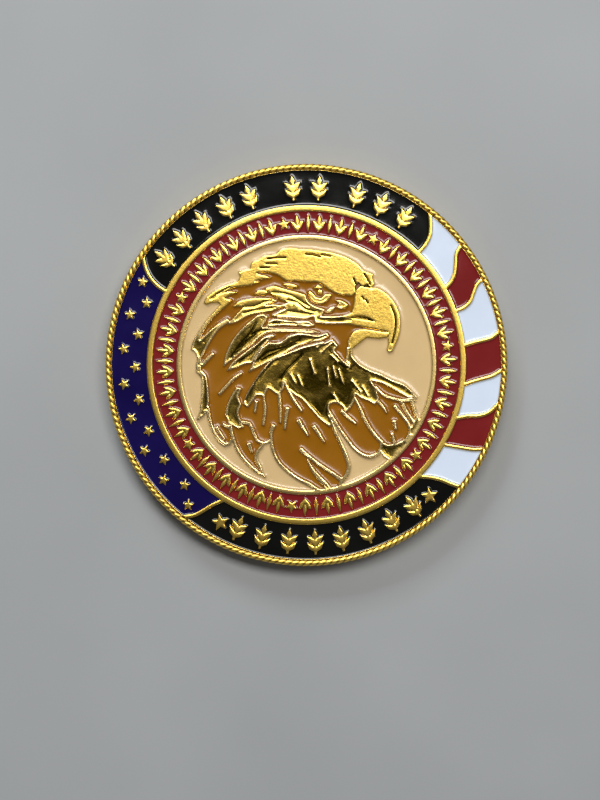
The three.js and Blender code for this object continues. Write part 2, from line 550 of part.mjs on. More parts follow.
function frontRelief() {
  const bottom = POCKET_FLOOR - ROOT_DEPTH;
  const outlines = [...bandOutlines(0), ...verseOutlines(0), ...eagleOutlines(0)];
  const raised = joined([
    ring(VERSE_OUTER + OUTER_RING_WIDTH, VERSE_OUTER, bottom, METAL_TOP),
    ring(VERSE_INNER, FIELD_RADIUS, bottom, METAL_TOP),
    ...outlines.map((outline) => prism(outline, bottom, METAL_TOP)),
  ]);
  const grooves = Object.values(EAGLE_GROOVES).map((points) => {
    const line = scaledToField(points).map(([x, y]) => [x, y, GROOVE_WIDTH]);
    return lineOutline(line);
  });
  grooves.push(scaledToField(MOUTH_GROOVE));
  return raised.subtract(joined(grooves.map((groove) => prism(groove, POCKET_FLOOR, COIN_THICKNESS))));
}

// The reverse: an open wreath of two branches round a star
function reverseRelief() {
  const top = REVERSE_DEPTH + ROOT_DEPTH;
  const bottom = REVERSE_DEPTH - REVERSE_RELIEF;
  const outlines = [placed(star(REVERSE_STAR_RADIUS), [0, 0], 90)];
  for (let i = 0; i < WREATH_LEAVES; i++) {
    const climb = -72 + (132 * i) / (WREATH_LEAVES - 1);
    for (const side of [0, 1]) {
      const angle = side ? 180 - climb : climb;
      const forward = side ? -90 : 90;
      const outward = side ? 30 : -30;
      const lean = i % 2 ? outward : -outward;
      const radius = WREATH_RADIUS + (i % 2 ? 1 : -1) * WREATH_LEAF_WIDTH * 0.6;
      const outline = leaf(WREATH_LEAF_LENGTH, WREATH_LEAF_WIDTH);
      outlines.push(placed(outline, polar(radius, angle), angle + forward + lean));
    }
  }
  return joined(outlines.map((outline) => prism(outline, bottom, top)));
}

// Enamel: the ring-shaped or round space between two radii, less the raised metal grown by the
// bond gap, falls apart into one solid for each pocket that the enamel fills.
function puddles(outer, inner, top, outlines) {
  const bottom = POCKET_FLOOR + BOND_GAP;
  const space = inner
    ? ring(outer - BOND_GAP, inner + BOND_GAP, bottom, top)
    : prism(circle(outer - BOND_GAP), bottom, top);
  const metal = outlines.map((outline) => prism(outline, POCKET_FLOOR, METAL_TOP));
  return space.subtract(joined(metal)).decompose();
}

// The puddle that lies over the point [x, y]
function puddleAt(candidates, [x, y]) {
  const probe = prism(placed(leaf(0.1, 0.1), [x, y], 90), POCKET_FLOOR, METAL_TOP);
  return candidates.find((candidate) => !candidate.intersect(probe).isEmpty());
}

// Materials and the finished group

function enamelMaterial(name) {
  const word = Object.keys(ENAMEL_COLOURS).find((colour) => name.includes(colour));
  return new THREE.MeshStandardMaterial({ color: ENAMEL_COLOURS[word], roughness: 0.25, metalness: 0 });
}

function namedMesh(name, solid, material) {
  const mesh = new THREE.Mesh(geometryOf(solid), material);
  mesh.name = name;
  return mesh;
}

const coin = new THREE.Group();
coin.name = "challenge_coin";

const gold = new THREE.MeshStandardMaterial({ color: GOLD, roughness: 0.28, metalness: 1 });
coin.add(namedMesh("coin_body", joined([blank(), frontRelief(), reverseRelief()]), gold));

const bandPuddles = puddles(BAND_OUTER, BAND_INNER, ENAMEL_TOP, bandOutlines(BOND_GAP));
for (const [name, angle] of Object.entries(BAND_SEEDS)) {
  coin.add(namedMesh(name, puddleAt(bandPuddles, polar(acrossBand(0.5), angle)), enamelMaterial(name)));
}

const [verseEnamel] = puddles(VERSE_OUTER, VERSE_INNER, ENAMEL_TOP, verseOutlines(BOND_GAP));
coin.add(namedMesh("verse_ring_red_enamel", verseEnamel, enamelMaterial("red")));

const fieldPuddles = puddles(FIELD_RADIUS, 0, FIELD_TOP, eagleOutlines(BOND_GAP));
for (const [name, point] of Object.entries(FIELD_SEEDS)) {
  const [place] = scaledToField([point]);
  coin.add(namedMesh(name, puddleAt(fieldPuddles, place), enamelMaterial(name)));
}

export default coin;
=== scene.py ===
import json
import math

import bpy
import numpy as np
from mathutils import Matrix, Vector, kdtree
from mathutils.geometry import delaunay_2d_cdt


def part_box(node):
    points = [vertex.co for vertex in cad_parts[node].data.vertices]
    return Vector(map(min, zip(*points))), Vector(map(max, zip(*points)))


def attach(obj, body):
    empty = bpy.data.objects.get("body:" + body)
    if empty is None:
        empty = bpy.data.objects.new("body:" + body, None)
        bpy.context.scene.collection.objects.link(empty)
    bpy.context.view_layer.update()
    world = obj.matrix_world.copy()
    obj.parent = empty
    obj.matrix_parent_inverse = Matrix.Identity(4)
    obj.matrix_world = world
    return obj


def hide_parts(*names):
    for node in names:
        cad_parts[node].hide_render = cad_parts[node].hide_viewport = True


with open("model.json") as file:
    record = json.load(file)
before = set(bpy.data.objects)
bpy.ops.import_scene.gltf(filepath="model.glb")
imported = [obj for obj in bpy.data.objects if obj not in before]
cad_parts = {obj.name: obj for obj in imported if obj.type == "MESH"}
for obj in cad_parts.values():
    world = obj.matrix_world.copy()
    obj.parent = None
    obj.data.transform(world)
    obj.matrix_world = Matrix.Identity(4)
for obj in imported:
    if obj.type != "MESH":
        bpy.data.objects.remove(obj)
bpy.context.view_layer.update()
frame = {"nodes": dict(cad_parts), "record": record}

MM = 0.001

# Relief, in mm
OUTLINE_STEP = 0.1  # spacing of points along an outline
CORNER_DEGREES = 38  # an outline turns a sharp corner where it turns by more than this
EDGE_ROUND = 0.022  # a metal edge is rounded down by this much
EDGE_RUN = 0.09  # and over this width
WALL_RUN = 0.05  # a wall leans out by this much from its top to below the enamel
WALL_SINK = 0.1  # depth of the wall's foot below the enamel
MENISCUS_RISE = 0.07  # the rings' enamel climbs a wall by this much
MENISCUS_RUN = 0.08  # and most of the climb is this near to the wall
FIELD_RISE = 0.13  # the centre field's enamel climbs more
FIELD_RUN = 0.15  # and over a wider run
ENAMEL_SKIN = 0.12  # thickness of an enamel piece below its surface
STROKE_WIDTH = 0.15  # half the width of an engraved or raised stroke on the plumage
DISH_DEPTH = 0.045  # the middle of a feather is sunk this far below its outline
DISH_START = 0.07  # distance in from the outline at which it starts to sink
DISH_RUN = 0.2  # and the width over which it sinks
HIGHLIGHT_WIDTH = 0.1  # width of the painted highlight, a pale outline, along a feather's edge
ROPE_STRANDS = 183
ROPE_LEAN = 1.3  # strands that one strand leans over from the rope's outside to its inside
ROPE_GROOVE = 0.32  # depth of the grooves as a share of the rope's radius
STRAND_POWER = 0.6  # below 1 makes a strand fuller than a sine
INNER_FLANK_SHADE = (-0.88, -0.6)  # painted shade darkens the rope over this span of its section on the coin's side
OUTER_FLANK_SHADE = (-0.3, 0.4)  # and over this one on the outside; -1 is its top and 1 its underside
SIDE_INSET = 0.35  # the plain side lies this share of the rope's radius inside its crest
ROPE_SECTION = 14  # points round the rope's section
STRAND_POINTS = 8  # points along the rope from one strand to the next
RIM_POINTS = 720  # round the coin's side
ROUND_POINTS = 180  # round the pockets' outer edge on each face
FRONT_ROWS = (0.05, 0.13, 0.27, -0.05, -0.14, -0.26)  # rows of points beside each outline
FRONT_SPACING = 0.42  # of the points between them
BACK_ROWS = (0.08, -0.08)
BACK_SPACING = 0.7
RAISED_OUTSIDE = 0  # outside its outermost outline a relief is raised metal

# Painted shade darkening the plumage and painted highlight along its pale edges, in mm
CROWN_FADE = (4.2, 7.5)  # going up over these heights, the plumage gives way to the crown
BEAK_FADE_X = (3.9, 5)  # and to the right over these, to the beak
BEAK_FADE_Y = (-0.6, 0.8)  # above these heights only
BREAST = (1.4, -2.6)  # where the painted shade is deepest
BREAST_SPREAD = (4.6, 3.8)
BREAST_SHADE = 1.6  # over 1, so that the painted shade is full over a wide patch
PLUMAGE_SHADE = 0.78  # share of the painted shade on the rest of the plumage
SHADE_FADE = (7, 3)  # going down the head, the painted shade starts at this height and is reached in full at this one
STROKE_RISE = 0.05  # a stroke this high or deep is marked in full
STROKE_SHADE = 0.5  # share of painted shade in an engraved stroke
SLIT_SHADE = 0.75  # and of painted shade in the slits cut through the eagle's metal
RING_HIGHLIGHT = 0.6  # share of the painted highlight, a paler gold, on the ring round the centre field
RING_SPAN = (-0.03, 0.5)  # that ring, from the field's edge
FEATHER_OUTLINE = 2 * HIGHLIGHT_WIDTH

# The camera: straight above, on a long lens
LENS = 85
SENSOR = 36  # mm wide
PHOTO_LONG_SIDE = 79.4  # mm across the picture's long side, at the coin's face
COIN_TURN = 8.6  # degrees that the artwork leans to the left in the picture
PICTURE_CENTRE = (-1.16, -3.35)  # the point of the coin's plane under the camera


# Colours are linear RGB
GOLD_BRIGHT = (0.87, 0.595, 0.12)
GOLD_DEEP = (0.81, 0.53, 0.095)
GOLD_PIT = (0.42, 0.21, 0.03)
# painted shade: the near-black that the plumage is darkened towards, standing in for a dark reflection
GOLD_PAINTED_SHADE = (0.045, 0.03, 0.003)
# painted highlight: the pale gold painted along the feathers' outlines and on the field's ring
GOLD_HIGHLIGHT = (0.8, 0.62, 0.33)
# painted shade: the dark brown of the rope's crevices and low flanks
GOLD_CREVICE_SHADE = (0.15, 0.085, 0.015)
FLOOR_DARK = (0.285, 0.292, 0.292)
FLOOR_LIGHT = (0.315, 0.322, 0.322)
ROOM_WALLS = (0.36, 0.38, 0.42, 1)
ROOM_CEILING = (0.05, 0.05, 0.05, 1)

# Each enamel's colour, roughness, gloss, and how far its mottling goes to either side of the colour
ENAMEL_LOOKS = {
    "black_enamel": ((0.004, 0.004, 0.0035), 0.08, 0.4, 0.15),
    "blue_enamel": ((0.006, 0.003, 0.052), 0.08, 0.4, 0.1),
    "white_enamel": ((0.6, 0.67, 0.78), 0.12, 0.4, 0.02),
    "red_enamel": ((0.17, 0.012, 0.012), 0.1, 0.4, 0.06),
    "cream_enamel": ((0.6, 0.42, 0.2), 0.14, 0.4, 0.03),
    "brown_enamel": ((0.25, 0.095, 0.003), 0.14, 0.4, 0.06),
}

# Each light's name, place in metres, width and depth, power in watts and colour. All face the coin.
LIGHTS = [
    ("skylight", (0.097, 0.192, 0.56), (0.42, 0.158), 3.0, (1.0, 0.985, 0.96)),
    ("window", (-0.13, 0.66, 0.42), (0.3, 0.2), 3.6, (0.86, 0.93, 1.0)),
]

BARB_ALONG = 0.4  # the plumage's combed lines are about this many to a millimetre along an outline
BARB_ACROSS = 4.5  # and this many across it
BARB_REACH = 0.45  # as far in from the outline as this


def mm_vertices(mesh):
    flat = np.empty(len(mesh.vertices) * 3, np.float32)
    mesh.vertices.foreach_get("co", flat)
    return flat.reshape(-1, 3).astype(float) / MM


def flat_outlines(node, height):
    """The closed outlines, in mm, round the faces of a CAD node that lie flat at one height."""
    mesh = frame["nodes"][node].data
    points = mm_vertices(mesh)
    names = {}
    index = [names.setdefault(tuple(p), len(names)) for p in np.round(points, 3)]
    place = {name: p for p, name in names.items()}
    follows = {}
    for face in mesh.polygons:
        corners = face.vertices
        if all(abs(points[v][2] - height) < 0.002 for v in corners):
            loop = [index[v] for v in corners]
            for a, b in zip(loop, loop[1:] + loop[:1]):
                if a in follows.get(b, ()):
                    follows[b].remove(a)
                else:
                    follows.setdefault(a, []).append(b)
    outlines = []
    for start in sorted(follows):
        while follows[start]:
            outline = [start]
            here = follows[start].pop()
            while here != start:
                outline.append(here)
                here = follows[here].pop()
            outlines.append(np.array([place[v][:2] for v in outline]))
    return outlines


def without_crumbs(outline, least):
    """An outline without points that nearly repeat the one before."""
    kept = [outline[0]]
    for point in outline[1:]:
        if np.hypot(*(point - kept[-1])) > least:
            kept.append(point)
    if len(kept) > 3 and np.hypot(*(kept[0] - kept[-1])) < least:
        kept.pop()
    return np.array(kept)


def smooth_outline(outline, step):
    """The outline as a curve through its own points, sharp only at its corners."""
    outline = without_crumbs(outline, 0.05)
    count = len(outline)
    before, after = np.roll(outline, 1, 0), np.roll(outline, -1, 0)
    arriving, leaving = outline - before, after - outline
    turn = np.arctan2(
        arriving[:, 0] * leaving[:, 1] - arriving[:, 1] * leaving[:, 0], (arriving * leaving).sum(1)
    )
    corner = np.abs(np.degrees(turn)) > CORNER_DEGREES
    length_in, length_out = np.hypot(*arriving.T), np.hypot(*leaving.T)
    tangent = arriving / length_in[:, None] * length_out[:, None]
    tangent += leaving / length_out[:, None] * length_in[:, None]
    tangent /= (length_in + length_out)[:, None]
    made = []
    for i in range(count):
        j = (i + 1) % count
        span = length_out[i]
        start = leaving[i] / span if corner[i] else tangent[i]
        end = leaving[i] / span if corner[j] else tangent[j]
        steps = max(1, round(span / step))
        t = (np.arange(steps) / steps)[:, None]
        made.append(
            (2 * t**3 - 3 * t**2 + 1) * outline[i]
            + (t**3 - 2 * t**2 + t) * span * start
            + (3 * t**2 - 2 * t**3) * outline[j]
            + (t**3 - t**2) * span * end
        )
    return np.vstack(made)


def circle(radius, count, phase=0.0):
    angle = 2 * math.pi * (np.arange(count) + phase) / count
    return radius * np.stack([np.cos(angle), np.sin(angle)], 1)


def beside(outline, distance):
    """A row of points along an outline, moved to its left by a distance."""
    along = np.roll(outline, -1, 0) - np.roll(outline, 1, 0)
    along /= np.maximum(np.hypot(*along.T), 1e-9)[:, None]
    return outline + distance * np.stack([-along[:, 1], along[:, 0]], 1)


def tree_of(points):
    tree = kdtree.KDTree(len(points))
    for i, (x, y) in enumerate(points):
        tree.insert((x, y, 0), i)
    tree.balance()
    return tree


def clear_of(points, tree, least):
    """The points that stay at least a distance away from a tree's."""
    return np.array([p for p in points if tree.find((p[0], p[1], 0))[2] >= least]).reshape(-1, 2)


def hexagonal(radius, spacing):
    """Points all over a disc, in a triangular pattern."""
    rows = []
    height = spacing * math.sqrt(3) / 2
    for k in range(int(-radius / height), int(radius / height) + 1):
        x = np.arange(-radius, radius, spacing) + (k % 2) * spacing / 2
        rows.append(np.stack([x, np.full(len(x), k * height)], 1))
    points = np.vstack(rows)
    return points[np.hypot(*points.T) < radius - spacing / 2]


class Relief:
    """A triangulated disc whose edges follow the outlines of one face's raised metal."""

    def __init__(self, outlines, radius, rows, spacing, details=()):
        outlines = [smooth_outline(o, OUTLINE_STEP) for o in outlines]
        lines = np.vstack(outlines)
        self.tree = tree_of(lines)
        edges = []
        first = 0
        for outline in outlines:
            count = len(outline)
            edges += [(first + i, first + (i + 1) % count) for i in range(count)]
            first += count
        parts = [lines, circle(radius, RIM_POINTS)]
        edges += [(first + i, first + (i + 1) % RIM_POINTS) for i in range(RIM_POINTS)]
        for row in rows:
            side = np.vstack([beside(o, row) for o in outlines])
            side = clear_of(side, self.tree, abs(row) * 0.85)
            parts.append(side[np.hypot(*side.T) < radius - 0.05])
        for detail in details:
            parts.append(clear_of(detail, self.tree, 0.05))
        near = min(max(rows), -min(rows))
        parts.append(clear_of(hexagonal(radius, spacing), self.tree, near + spacing * 0.35))
        cloud = [Vector(p) for p in np.vstack(parts)]
        made, drawn, triangles, _, kinds, _ = delaunay_2d_cdt(cloud, edges, [], 0, 1e-5)
        self.points = np.array([tuple(p) for p in made])
        self.triangles = np.array([t for t in triangles if len(t) == 3])
        rim = {i for i, p in enumerate(self.points) if math.hypot(*p) > radius - 1e-3}
        walls = {frozenset(e) for e, kind in zip(drawn, kinds) if kind and not rim.issuperset(e)}
        self._label(walls, rim)
        self._measure()

    def _label(self, walls, rim):
        """Numbers the regions that the outlines divide the disc into, and how deep each is nested."""
        owners = {}
        for number, (a, b, c) in enumerate(self.triangles):
            for edge in (frozenset((a, b)), frozenset((b, c)), frozenset((c, a))):
                owners.setdefault(edge, []).append(number)
        region = np.full(len(self.triangles), -1)
        depth = []
        start = next(pair[0] for edge, pair in owners.items() if len(pair) == 1)
        waiting = [(start, 0)]
        while waiting:
            seed, level = waiting.pop(0)
            if region[seed] >= 0:
                continue
            number = len(depth)
            depth.append(level)
            region[seed] = number
            stack = [seed]
            while stack:
                a, b, c = self.triangles[stack.pop()]
                for edge in (frozenset((a, b)), frozenset((b, c)), frozenset((c, a))):
                    for other in owners[edge]:
                        if region[other] < 0:
                            if edge in walls:
                                waiting.append((other, 1 - level))
                            else:
                                region[other] = number
                                stack.append(other)
        self.region = region
        self.raised = np.array(depth)[region] == RAISED_OUTSIDE

    def _measure(self):
        """Each point's distance to the nearest outline: above zero on metal, below zero off it."""
        distance = np.array([self.tree.find((x, y, 0))[2] for x, y in self.points])
        on_metal = np.zeros(len(self.points), bool)
        on_metal[self.triangles[self.raised].ravel()] = True
        off_metal = np.zeros(len(self.points), bool)
        off_metal[self.triangles[~self.raised].ravel()] = True
        self.distance = np.where(on_metal & off_metal, 0, np.where(on_metal, distance, -distance))

    def region_at(self, x, y):
        centres = self.points[self.triangles].mean(1)
        return self.region[np.argmin(np.hypot(centres[:, 0] - x, centres[:, 1] - y))]


def mesh_piece(name, vertices, faces, material):
    """A smooth-shaded mesh of points in mm, riding on the coin, with its material."""
    mesh = bpy.data.meshes.new(name)
    mesh.from_pydata((np.asarray(vertices) * MM).tolist(), [], [tuple(map(int, f)) for f in faces])
    mesh.validate()
    mesh.polygons.foreach_set("use_smooth", [True] * len(mesh.polygons))
    mesh.materials.append(material)
    piece = bpy.data.objects.new(name, mesh)
    bpy.context.scene.collection.objects.link(piece)
    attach(piece, "root")
    return piece


def paint(piece, name, values):
    """Stores one number, or one vector, at each vertex for the material to read."""
    values = np.asarray(values, np.float32)
    kind, field = ("FLOAT", "value") if values.ndim == 1 else ("FLOAT_VECTOR", "vector")
    attribute = piece.data.attributes.new(name, kind, "POINT")
    attribute.data.foreach_set(field, values.ravel())


def flat_levels(node):
    """The heights, in mm, at which a CAD node has flat level faces, from the lowest up."""
    mesh = frame["nodes"][node].data
    points = mm_vertices(mesh)
    heights = set()
    for face in mesh.polygons:
        z = points[list(face.vertices)][:, 2]
        if np.ptp(z) < 0.001:
            heights.add(round(float(z[0]), 2))
    return sorted(heights)


def widest_at(node, height):
    """The largest radius, in mm, of a CAD node's vertices at one height."""
    points = mm_vertices(frame["nodes"][node].data)
    level = points[np.abs(points[:, 2] - height) < 0.01]
    return float(np.hypot(level[:, 0], level[:, 1]).max())


BODY = "coin_body"
ENAMEL_NODES = sorted(name for name in frame["nodes"] if name != BODY)
LOW, HIGH = (np.array(corner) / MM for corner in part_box(BODY))
COIN_RADIUS = (HIGH[0] - LOW[0]) / 2
LEVELS = flat_levels(BODY)
RIM_LEVEL, REVERSE_TOP, REVERSE_FIELD = LEVELS[:3]
POCKET_FLOOR, METAL_TOP = LEVELS[-2:]
BAND_RADIUS = widest_at(BODY, POCKET_FLOOR)
REVERSE_RADIUS = widest_at(BODY, REVERSE_FIELD)
ROPE_RADIUS = (COIN_RADIUS - BAND_RADIUS) / 2
ROPE_MIDDLE = COIN_RADIUS - ROPE_RADIUS
SIDE_RADIUS = COIN_RADIUS - ROPE_RADIUS * SIDE_INSET
FIELD_NODES = [n for n in ENAMEL_NODES if n.endswith("_brown_enamel") or n.startswith("cream_")]
FIELD_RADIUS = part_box("cream_field_enamel")[1][0] / MM


def edge_drop(distance):
    """How far a rounded metal edge lies below the flat metal, at a distance in from the edge."""
    return EDGE_ROUND * (1 - np.clip(distance / EDGE_RUN, 0, 1)) ** 2


def slot_of(node):
    parts = frame["record"]["subparts"]
    return next(part["material_slot"] for part in parts if part["node"] == node)


# Strokes on the eagle, in mm: how far each stands above the metal, or below it if negative, and the
# points along it
STROKES = [
    (-0.06, [(-5.0, 3.8), (-3.9, 4.1), (-3.0, 4.0), (-1.0, 3.7), (0.0, 3.5), (1.6, 3.02)]),
    (-0.06, [(-1.0, 1.7), (1.0, 2.28), (2.3, 2.6)]),
    (-0.06, [(-6.5, -2.6), (-5.4, -1.1), (-4.4, -0.1), (-3.4, 0.75), (-2.8, 1.0)]),
    (-0.06, [(-2.8, -1.0), (-2.0, -0.2), (-1.0, 0.5), (-0.4, 1.0)]),
    (-0.06, [(-7.3, 1.8), (-6.3, 2.9), (-5.1, 3.9), (-4.3, 4.9)]),
    (-0.06, [(-6.9, 2.1), (-5.7, 3.1), (-4.6, 3.8)]),
    (-0.05, [(-6.6, 1.3), (-5.4, 1.8), (-4.4, 2.5), (-3.5, 3.1)]),
    (-0.05, [(-5.0, 1.0), (-3.6, 1.8), (-2.0, 2.0), (-0.4, 2.5)]),
    (-0.05, [(-4.4, 1.1), (-2.6, 1.7), (-0.8, 2.2)]),
    (-0.05, [(-5.3, 6.6), (-4.3, 6.5), (-3.2, 6.8), (-2.5, 6.85)]),
    (-0.05, [(-5.4, 6.0), (-4.2, 6.1), (-2.6, 6.1)]),
    (-0.05, [(-2.3, 7.6), (-1.3, 7.4), (-0.4, 7.0), (0.4, 6.3), (1.1, 5.7)]),
    (-0.05, [(-0.9, 6.6), (0.0, 6.3), (0.7, 5.5), (1.6, 5.1)]),
    (-0.05, [(-0.9, 5.5), (0.3, 5.15), (1.4, 4.85)]),
    (-0.05, [(-2.7, 4.6), (-1.6, 4.45), (-0.4, 4.2)]),
    (-0.05, [(2.7, 4.15), (4.0, 3.9), (5.0, 3.75)]),
    (-0.05, [(-9.2, 5.2), (-8.3, 6.0), (-7.4, 6.6)]),
    (-0.05, [(-8.4, 7.9), (-7.5, 8.35), (-6.4, 8.75)]),
    (0.05, [(-1.0, -0.9), (-0.75, -1.9)]),
    (0.06, [(0.45, 0.45), (0.65, -0.85)]),
    (0.06, [(2.0, -0.7), (1.95, -2.2)]),
    (0.06, [(2.6, -0.6), (2.7, -1.6)]),
    (0.05, [(3.1, -0.9), (3.3, -2.2)]),
    (0.06, [(4.3, -2.3), (4.9, -3.4)]),
    (0.05, [(5.2, -3.0), (5.6, -4.0)]),
    (0.05, [(2.2, -3.3), (2.6, -4.1)]),
    (0.05, [(1.2, 1.55), (2.0, 1.9)]),
    (0.05, [(1.7, 1.05), (2.75, 1.75)]),
    (0.05, [(2.6, 0.6), (3.1, -0.1)]),
    (0.05, [(-1.7, -0.7), (-1.4, -1.5)]),
]
STROKE_ROWS = (0, 0.08, -0.08, 0.16, -0.16)


def beside_line(line, aside, step=0.1):
    """Points along an open line, moved to its left by a distance."""
    line = np.array(line)
    run = np.append(0, np.cumsum(np.hypot(*np.diff(line, axis=0).T)))
    at = np.linspace(0, run[-1], max(2, round(run[-1] / step)))
    points = np.column_stack([np.interp(at, run, line[:, 0]), np.interp(at, run, line[:, 1])])
    along = np.gradient(points, axis=0)
    along /= np.hypot(*along.T)[:, None]
    return points + aside * np.stack([-along[:, 1], along[:, 0]], 1)


def stroke_heights(relief, keep):
    """The strokes' height at each point, counting only those that keep() allows."""
    height = np.zeros(len(relief.points))
    for rise, line in STROKES:
        if keep(rise):
            middle = beside_line(line, 0, 0.03)
            low, high = middle.min(0) - STROKE_WIDTH, middle.max(0) + STROKE_WIDTH
            near = np.nonzero(((relief.points > low) & (relief.points < high)).all(1))[0]
            gap = np.hypot(*(relief.points[near, None] - middle[None]).transpose(2, 0, 1)).min(1)
            shape = rise * (1 - np.clip(gap / STROKE_WIDTH, 0, 1) ** 2) ** 2
            height[near] = np.where(np.abs(shape) > np.abs(height[near]), shape, height[near])
    return height


def front_relief():
    outlines = flat_outlines(BODY, METAL_TOP) + [circle(BAND_RADIUS, ROUND_POINTS)[::-1]]
    details = [np.vstack([beside_line(line, aside) for aside in STROKE_ROWS]) for _, line in STROKES]
    return Relief(outlines, SIDE_RADIUS, FRONT_ROWS, FRONT_SPACING, details)


def back_relief():
    outlines = [o[::-1] for o in flat_outlines(BODY, REVERSE_TOP)]
    outlines.append(circle(REVERSE_RADIUS, ROUND_POINTS)[::-1])
    return Relief(outlines, SIDE_RADIUS, BACK_ROWS, BACK_SPACING)


def enamel_regions(relief):
    """Maps each pocket's region of the front relief to the CAD node of the enamel that fills it.

    The face's pocket and the mane's come out as one region here. The mane's node is the later one
    and takes it, so the face's CAD node is not replaced and keeps its imported material.
    """
    regions = {}
    for node in ENAMEL_NODES:
        mesh = frame["nodes"][node].data
        points = mm_vertices(mesh)
        top = points[:, 2].max()
        flat = [f for f in mesh.polygons if all(points[v][2] > top - 0.01 for v in f.vertices)]
        widest = max(flat, key=lambda f: f.area)
        x, y, _ = points[list(widest.vertices)].mean(0)
        regions[relief.region_at(x, y)] = node
    return regions


def smooth_step(values, start, end):
    share = np.clip((values - start) / (end - start), 0, 1)
    return share * share * (3 - 2 * share)


def feathers(relief):
    """How much of the eagle's plumage each point has: none on the rings, the crown and the beak."""
    x, y = relief.points.T
    beak = smooth_step(x, *BEAK_FADE_X) * smooth_step(y, *BEAK_FADE_Y)
    bare = np.maximum(smooth_step(y, *CROWN_FADE), beak)
    return (1 - bare) * (np.hypot(x, y) < FIELD_RADIUS)


def inside_outline(relief):
    """0 along the metal's outlines and 1 in the middle of its wide places."""
    return smooth_step(relief.distance, DISH_START, DISH_START + DISH_RUN)


def shadowed(relief):
    """Where painted shade darkens the plumage, standing in for a dark reflection: deepest on the breast.
    """
    x, y = relief.points.T
    across = (x - BREAST[0]) / BREAST_SPREAD[0]
    up = (y - BREAST[1]) / BREAST_SPREAD[1]
    breast = BREAST_SHADE * np.exp(-(across**2) - up**2)
    fade = PLUMAGE_SHADE * smooth_step(-y, -SHADE_FADE[0], -SHADE_FADE[1])
    raised = stroke_heights(relief, lambda rise: rise > 0) / STROKE_RISE
    cut = stroke_heights(relief, lambda rise: rise < 0) / -STROKE_RISE
    plumage = np.clip(np.maximum(fade, breast), 0, 1) * feathers(relief) * inside_outline(relief)
    return np.clip(plumage * (1 - raised) + STROKE_SHADE * cut * (relief.distance > 0), 0, 1)


def painted_highlight(relief):
    """Where painted highlight makes the gold paler: along the feathers' outlines, on their raised
    strokes and on the ring round the centre field."""
    radius = np.hypot(*relief.points.T)
    outline = 1 - smooth_step(relief.distance, HIGHLIGHT_WIDTH, FEATHER_OUTLINE)
    strokes = stroke_heights(relief, lambda rise: rise > 0) / STROKE_RISE
    ring = (radius > FIELD_RADIUS + RING_SPAN[0]) & (radius < FIELD_RADIUS + RING_SPAN[1])
    return np.clip(np.maximum(outline, strokes) * feathers(relief) + RING_HIGHLIGHT * ring, 0, 1)


def front_heights(relief, regions):
    s = relief.distance
    level = np.full(len(s), POCKET_FLOOR)
    for region, node in regions.items():
        corners = relief.triangles[relief.region == region].ravel()
        level[corners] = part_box(node)[1][2] / MM
    metal = METAL_TOP - edge_drop(s) - DISH_DEPTH * feathers(relief) * inside_outline(relief)
    metal += stroke_heights(relief, lambda rise: True)
    share = np.clip(-s / WALL_RUN, 0, 1)
    wall = (METAL_TOP - EDGE_ROUND) * (1 - share) + (level - WALL_SINK) * share
    floor = np.where(-s > 2 * WALL_RUN, POCKET_FLOOR, wall)
    z = np.where(s >= 0, metal, floor)
    radius = np.hypot(*relief.points.T)
    under_rope = radius > BAND_RADIUS + 0.02
    return np.where(under_rope, METAL_TOP - ROPE_RADIUS, z)


def back_heights(relief):
    s = relief.distance
    radius = np.hypot(*relief.points.T)
    top = np.where(radius > REVERSE_RADIUS - 0.01, RIM_LEVEL, REVERSE_TOP)
    share = np.clip(-s / WALL_RUN, 0, 1)
    off = (top + EDGE_ROUND) * (1 - share) + REVERSE_FIELD * share
    z = np.where(s >= 0, top + edge_drop(s), off)
    return np.where(radius > ROPE_MIDDLE, ROPE_RADIUS, z)


def rim_indices(relief):
    """The rim's points in order of angle."""
    radius = np.hypot(*relief.points.T)
    rim = np.nonzero(radius > radius.max() - 1e-3)[0]
    return rim[np.argsort(np.arctan2(relief.points[rim, 1], relief.points[rim, 0]))]


def struck_body(front, regions, back, material):
    """The whole blank as one closed surface: front face, plain side and reverse."""
    top = np.column_stack([front.points, front_heights(front, regions)])
    bottom = np.column_stack([back.points, back_heights(back)])
    offset = len(top)
    faces = [tuple(t) for t in front.triangles]
    faces += [tuple(offset + t[::-1]) for t in back.triangles]
    upper, lower = rim_indices(front), rim_indices(back) + offset
    for i in range(len(upper)):
        j = (i + 1) % len(upper)
        faces.append((lower[i], lower[j], upper[j], upper[i]))
    piece = mesh_piece(BODY + "_struck", np.vstack([top, bottom]), faces, material)
    back_count = len(bottom)
    paint(piece, "sandblasted", np.concatenate([np.zeros(offset), back.distance < 0]))
    on_eagle = np.hypot(*front.points.T) < FIELD_RADIUS
    paint(piece, "on_eagle", np.concatenate([on_eagle, np.zeros(back_count)]))
    paint(piece, "plumage", np.concatenate([feathers(front), np.zeros(back_count)]))
    # painted highlight along the feathers' outlines and on the field's ring
    paint(piece, "highlight", np.concatenate([painted_highlight(front), np.zeros(back_count)]))
    # painted shade: the slits cut into the eagle are darkened, as is the plumage
    grooves = ~front.raised & ~np.isin(front.region, list(regions))
    slit_shade = np.zeros(offset)
    slit_shade[front.triangles[grooves].ravel()] = SLIT_SHADE
    painted_shade = np.maximum(shadowed(front), slit_shade * on_eagle)
    paint(piece, "painted_shade", np.concatenate([painted_shade, np.zeros(back_count)]))
    from_outline = np.minimum(front.distance, BARB_REACH)
    barbs = np.column_stack([front.points * BARB_ALONG, from_outline * BARB_ACROSS])
    paint(piece, "barbs", np.vstack([barbs, np.zeros((back_count, 3))]))
    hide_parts(BODY)


